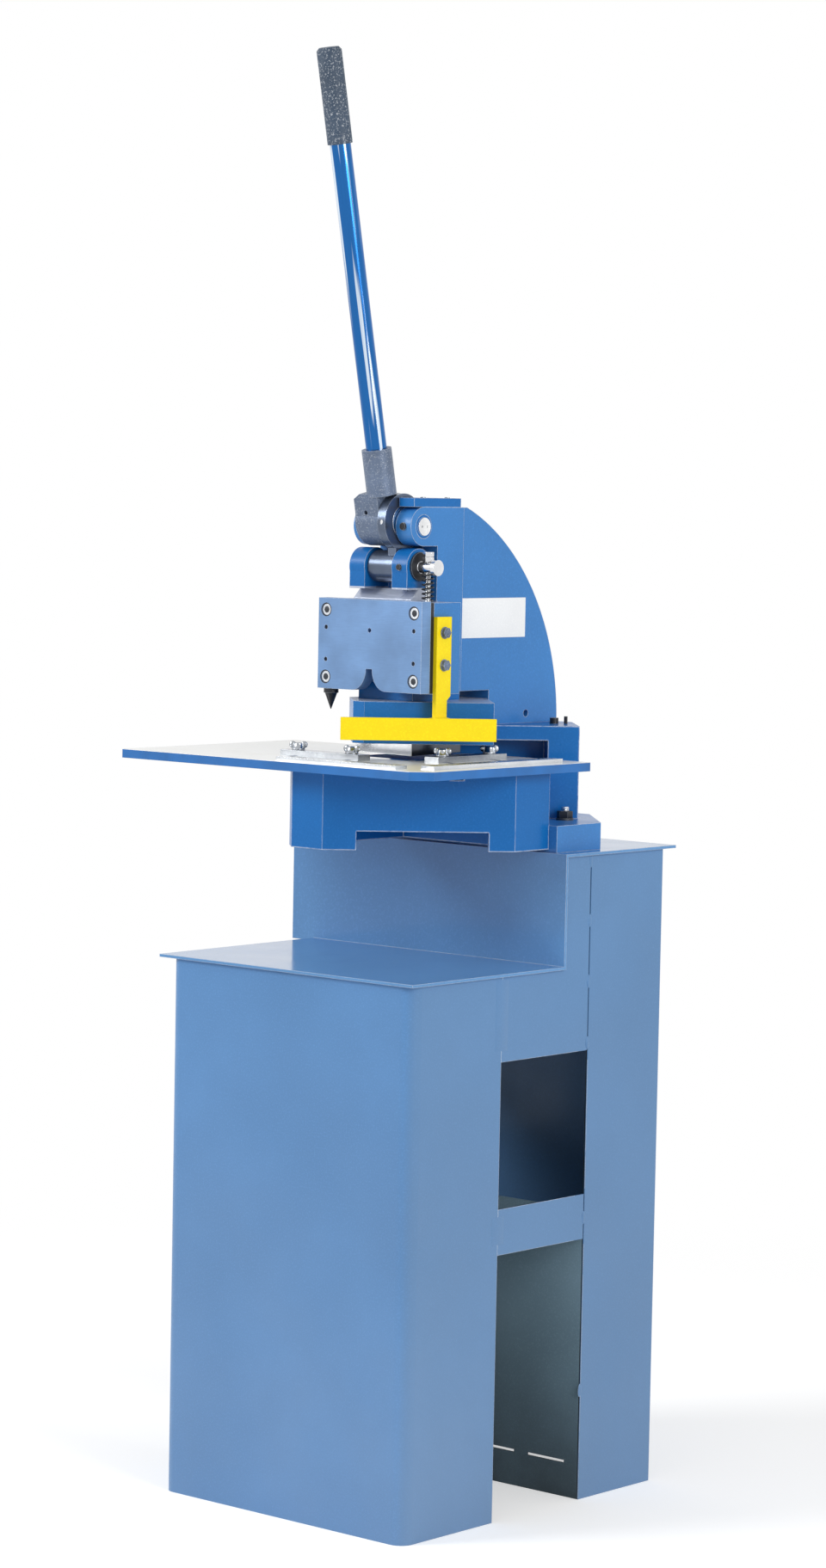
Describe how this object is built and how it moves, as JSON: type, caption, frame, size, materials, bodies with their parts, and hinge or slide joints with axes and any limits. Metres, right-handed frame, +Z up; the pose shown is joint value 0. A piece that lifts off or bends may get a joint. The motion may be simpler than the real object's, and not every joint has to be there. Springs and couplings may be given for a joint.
{
  "type": "corner notcher",
  "caption": "Hand-lever corner notcher: an eccentric lever drives a square punch through a die set in a table, in a curved cast head on a folded sheet-metal stand.",
  "frame": {"origin": "centre of the bounding box on the floor", "axes": "+Z up, +X to the operator's right, +Y away from the operator"},
  "size_m": [0.549, 0.543, 1.9326],
  "materials": {
    "stand_paint": "semi-gloss blue paint",
    "machine_paint": "gloss blue enamel",
    "steel": "machined steel",
    "polished_steel": "ground steel",
    "dark_steel": "blackened steel",
    "plate_steel": "ground steel, cool grey",
    "guard_paint": "gloss yellow paint",
    "chrome": "polished chrome",
    "bronze": "bearing bronze",
    "grip": "speckled dark rubber",
    "black": "black"
  },
  "bodies": {
    "frame": {"front_leg": "stand_paint", "rear_leg": "stand_paint", "rear_panel": "stand_paint", "top_sheet": "stand_paint", "right_side_panel": "stand_paint", "left_side_panel": "stand_paint", "right_cross_bar": "stand_paint", "left_cross_bar": "stand_paint", "base_plate": "machine_paint", "base_bolts": "steel", "base_nuts": "steel", "bed": "machine_paint", "column_bolts": "steel", "table": "polished_steel", "table_screws": "steel", "die_plate": "polished_steel", "die_screws": "steel", "guide_block": "machine_paint", "guide_screws": "steel", "head": "machine_paint", "head_bolts": "dark_steel", "keeper_strips": "dark_steel", "front_plate": "plate_steel", "front_plate_screws": "dark_steel", "front_plate_dowels": "steel", "pointer": "black", "gib": "steel", "gib_screws": "dark_steel", "gib_nuts": "steel", "fork_bushes": "bronze", "bush_screw": "dark_steel", "stop_stud": "steel", "stop_nuts": "steel", "return_spring": "steel", "lever_stop": "dark_steel", "lever_stop_screws": "steel", "guard": "guard_paint", "guard_screws": "steel", "right_scale": "steel", "left_scale": "steel"},
    "lever": {"eccentric_shaft": "steel", "lever_hub": "dark_steel", "lever_tube": "chrome", "grip": "grip"},
    "link": {"link": "dark_steel", "link_plug": "steel"},
    "slide": {"slide": "machine_paint", "punch": "polished_steel", "punch_screws": "dark_steel", "slide_pin": "steel", "pin_sleeves": "steel", "pin_lock_screw": "dark_steel"},
    "right_stop": {"right_stop": "steel", "right_clamp_nuts": "steel"},
    "left_stop": {"left_stop": "steel", "left_clamp_nuts": "steel"},
    "right_clamp_front": {"right_clamp_front": "steel"},
    "right_clamp_rear": {"right_clamp_rear": "steel"},
    "left_clamp_inner": {"left_clamp_inner": "steel"},
    "left_clamp_outer": {"left_clamp_outer": "steel"}
  },
  "joints": [
    {"name": "lever_swing", "type": "hinge", "parent": "frame", "child": "lever", "pos_m": [0.0485, -0.0655, 1.31], "axis": [1, 0, 0], "range_deg": [0, 76], "stiffness_Nm_per_rad": 4, "springref_deg": -40.11},
    {"name": "link_turn", "type": "hinge", "parent": "lever", "child": "link", "pos_m": [0.0485, -0.07259, 1.31554], "axis": [1, 0, 0], "range_deg": [-76, 0]},
    {"name": "slide_stroke", "type": "slide", "parent": "frame", "child": "slide", "axis": [0, 0, -1], "range_m": [0, 0.0111], "deforming": ["return_spring"]},
    {"name": "right_stop_slide", "type": "slide", "parent": "frame", "child": "right_stop", "axis": [1, 0, 0], "range_m": [-0.02, 0.02]},
    {"name": "left_stop_slide", "type": "slide", "parent": "frame", "child": "left_stop", "axis": [0, 1, 0], "range_m": [-0.02, 0.02]},
    {"name": "right_clamp_front_turn", "type": "hinge", "parent": "right_stop", "child": "right_clamp_front", "pos_m": [0.1545, -0.0825, 1], "axis": [0, 0, 1], "range_deg": [0, 360]},
    {"name": "right_clamp_rear_turn", "type": "hinge", "parent": "right_stop", "child": "right_clamp_rear", "pos_m": [0.1545, 0.0135, 1], "axis": [0, 0, 1], "range_deg": [0, 360]},
    {"name": "left_clamp_inner_turn", "type": "hinge", "parent": "left_stop", "child": "left_clamp_inner", "pos_m": [0.0525, -0.1485, 1], "axis": [0, 0, 1], "range_deg": [0, 360]},
    {"name": "left_clamp_outer_turn", "type": "hinge", "parent": "left_stop", "child": "left_clamp_outer", "pos_m": [-0.0435, -0.1485, 1], "axis": [0, 0, 1], "range_deg": [0, 360]}
  ],
  "couplings": [
    {"joint": "link_turn", "follows": "lever_swing", "ratio": -1},
    {"joint": "slide_stroke", "follows": "lever_swing", "m_per_rad": 0.0083546}
  ]
}
